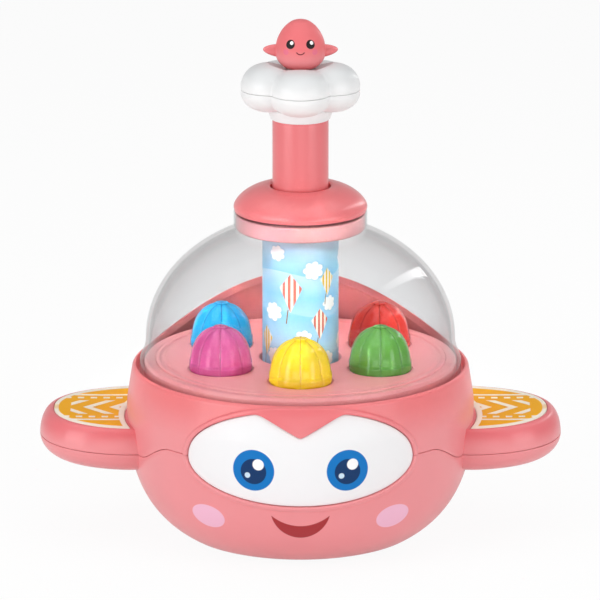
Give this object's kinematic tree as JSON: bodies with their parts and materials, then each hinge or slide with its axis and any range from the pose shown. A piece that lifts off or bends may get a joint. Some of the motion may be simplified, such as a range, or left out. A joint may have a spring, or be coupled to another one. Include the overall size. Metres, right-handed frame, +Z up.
{
  "type": "press-down spinning top",
  "caption": "Toddler spinning top: pressing the cloud knob spins a turntable of balloon domes under a clear dome on an aeroplane-shaped body.",
  "frame": {"origin": "on the ground under the centre of the column", "axes": "+Z up along the plunger, the front with the windscreen faces -Y, +X to the right seen from the front"},
  "size_m": [0.22, 0.1466, 0.223],
  "materials": {
    "pink_shell": "satin moulded pink ABS",
    "pink_deck": "satin moulded pink ABS",
    "deep_pink": "glossy deeper pink ABS",
    "windscreen_white": "white ABS with printed eyes",
    "wing_orange": "orange printed plate with a white border",
    "grey_rubber": "matt rubber",
    "screw_steel": "zinc-plated steel",
    "spring_steel": "drawn spring wire",
    "clear_dome": "clear polished polystyrene",
    "nylon": "natural acetal",
    "sky_print": "pale blue printed sleeve",
    "cloud_white": "white satin ABS",
    "balloon_yellow": "translucent polished yellow",
    "balloon_green": "translucent polished green",
    "balloon_red": "translucent polished red",
    "balloon_orange": "translucent polished orange",
    "balloon_blue": "translucent polished blue",
    "balloon_magenta": "translucent polished magenta"
  },
  "bodies": {
    "housing": {"lower_shell": "pink_shell", "upper_shell": "pink_shell", "windscreen_panel": "windscreen_white", "wing_inlay_left": "wing_orange", "wing_inlay_right": "wing_orange", "foot_ring": "grey_rubber", "case_screw_1": "screw_steel", "case_screw_2": "screw_steel", "case_screw_3": "screw_steel", "case_screw_4": "screw_steel", "deck_ring": "pink_deck", "dome": "clear_dome", "collar_cap": "deep_pink", "collar_retainer_ring": "pink_shell", "collar_bush": "nylon", "column_sleeve": "sky_print", "bearing_plate": "nylon", "bearing_screw_1": "screw_steel", "bearing_screw_2": "screw_steel", "bearing_screw_3": "screw_steel", "thrust_washer": "nylon"},
    "turntable": {"turntable_disc": "pink_deck", "balloon_dome_yellow": "balloon_yellow", "balloon_dome_green": "balloon_green", "balloon_dome_red": "balloon_red", "balloon_dome_orange": "balloon_orange", "balloon_dome_blue": "balloon_blue", "balloon_dome_magenta": "balloon_magenta", "ratchet_ring": "nylon", "hub_screw_1": "screw_steel", "hub_screw_2": "screw_steel", "hub_screw_3": "screw_steel"},
    "spindle": {"spindle_rod": "screw_steel", "clutch_driver": "nylon"},
    "plunger": {"plunger_tube": "deep_pink", "spindle_nut": "nylon", "return_spring": "spring_steel", "cloud_upper_shell": "cloud_white", "cloud_lower_shell": "cloud_white", "figure_body": "deep_pink", "figure_wing_left": "deep_pink", "figure_wing_right": "deep_pink", "knob_screw": "screw_steel"}
  },
  "joints": [
    {"name": "plunger_press", "type": "slide", "parent": "housing", "child": "plunger", "axis": [0, 0, -1], "range_m": [0, 0.027], "stiffness_N_per_m": 150, "springref_m": -0.02, "deforming": ["return_spring"]},
    {"name": "spindle_turn", "type": "hinge", "parent": "housing", "child": "spindle", "pos_m": [0, 0, 0.06], "axis": [0, 0, 1], "range_deg": [-15, 400]},
    {"name": "turntable_spin", "type": "hinge", "parent": "housing", "child": "turntable", "pos_m": [0, 0, 0.08], "axis": [0, 0, 1], "continuous": true}
  ],
  "couplings": [
    {"joint": "spindle_turn", "follows": "plunger_press", "rad_per_m": 232.71}
  ]
}
